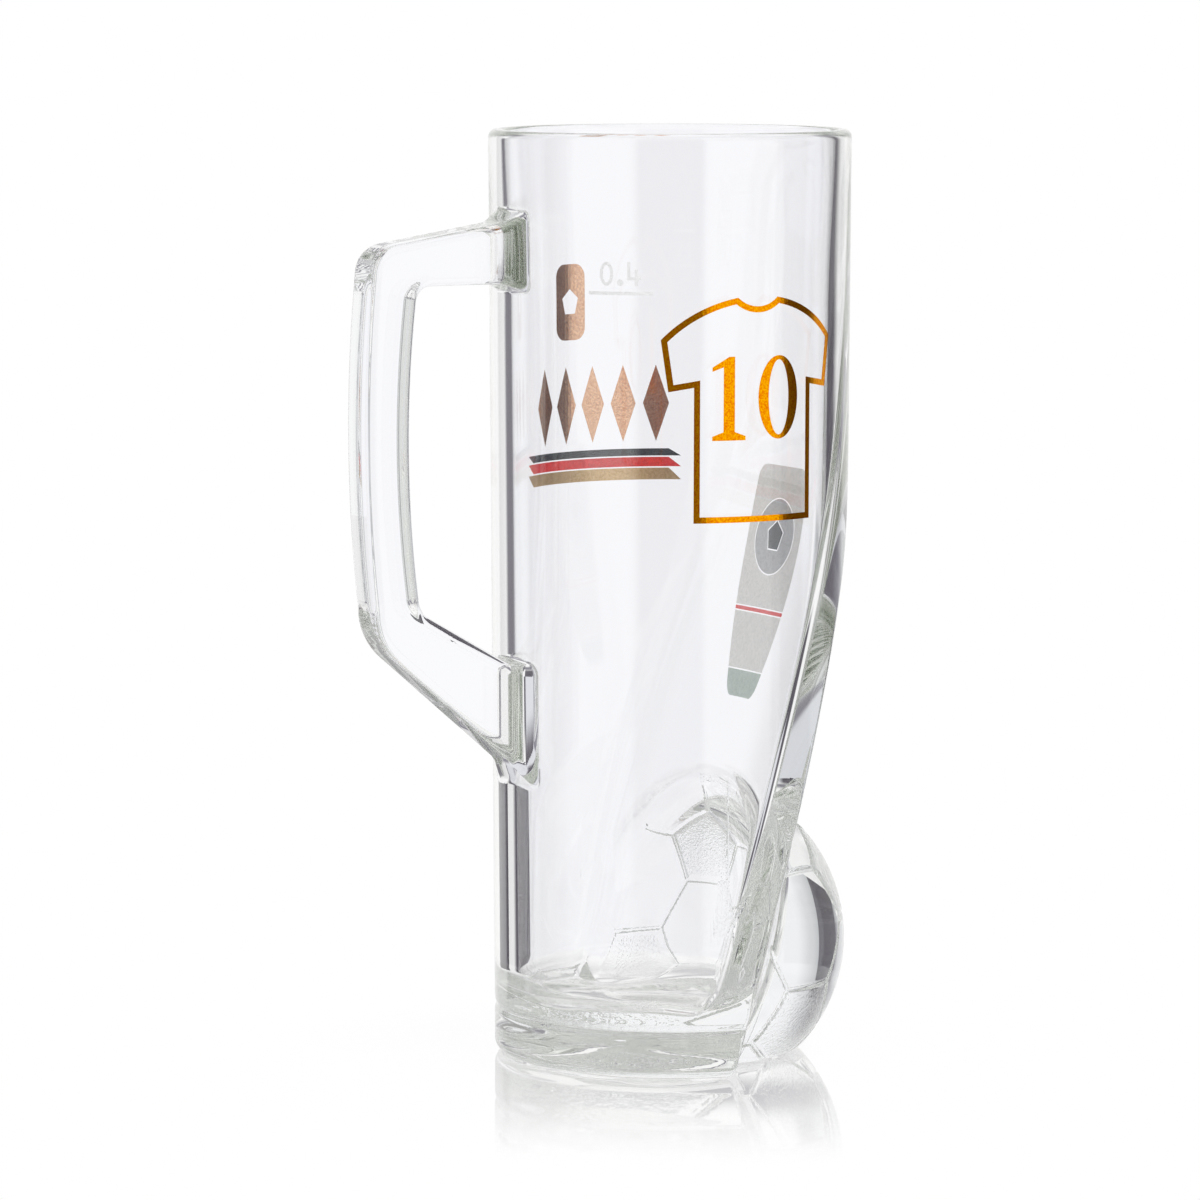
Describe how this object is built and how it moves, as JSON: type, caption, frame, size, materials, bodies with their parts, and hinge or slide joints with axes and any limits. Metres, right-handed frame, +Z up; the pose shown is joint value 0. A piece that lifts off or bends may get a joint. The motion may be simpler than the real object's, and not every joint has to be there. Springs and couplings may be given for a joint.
{
  "type": "beer mug",
  "caption": "Tall glass beer mug with a bar handle and a slanted front that stands behind a half football at the foot, with fired prints on its sides.",
  "frame": {"origin": "on the beaker's axis, at the underside that the mug stands on", "axes": "+Z up along the beaker's axis, +X towards the football at the foot, -X towards the handle"},
  "size_m": [0.114, 0.0787, 0.2],
  "materials": {
    "clear_glass": "gloss",
    "orange_lustre": "gloss",
    "copper_lustre": "satin",
    "gold_enamel": "satin",
    "red_enamel": "gloss",
    "dark_enamel": "gloss",
    "white_enamel": "matte",
    "pale_enamel": "satin",
    "green_enamel": "satin",
    "grey_enamel": "satin"
  },
  "bodies": {
    "root": {"beaker": "clear_glass", "base_slab": "clear_glass", "ball_foot": "clear_glass", "handle": "clear_glass", "shirt_outline": "orange_lustre", "shirt_digit_one": "orange_lustre", "shirt_digit_zero": "orange_lustre", "ribbon_dark_band": "dark_enamel", "ribbon_red_band": "red_enamel", "ribbon_gold_band": "gold_enamel", "lozenge_1": "copper_lustre", "lozenge_2": "copper_lustre", "lozenge_3": "copper_lustre", "lozenge_4": "copper_lustre", "lozenge_5": "copper_lustre", "badge": "copper_lustre", "fill_line": "white_enamel", "fill_digit_zero": "white_enamel", "fill_point": "white_enamel", "fill_digit_four": "white_enamel", "label_band": "green_enamel", "label_lower_panel": "pale_enamel", "label_line": "red_enamel", "label_upper_panel": "pale_enamel", "label_disc": "grey_enamel", "label_pentagon": "dark_enamel"}
  },
  "joints": []
}
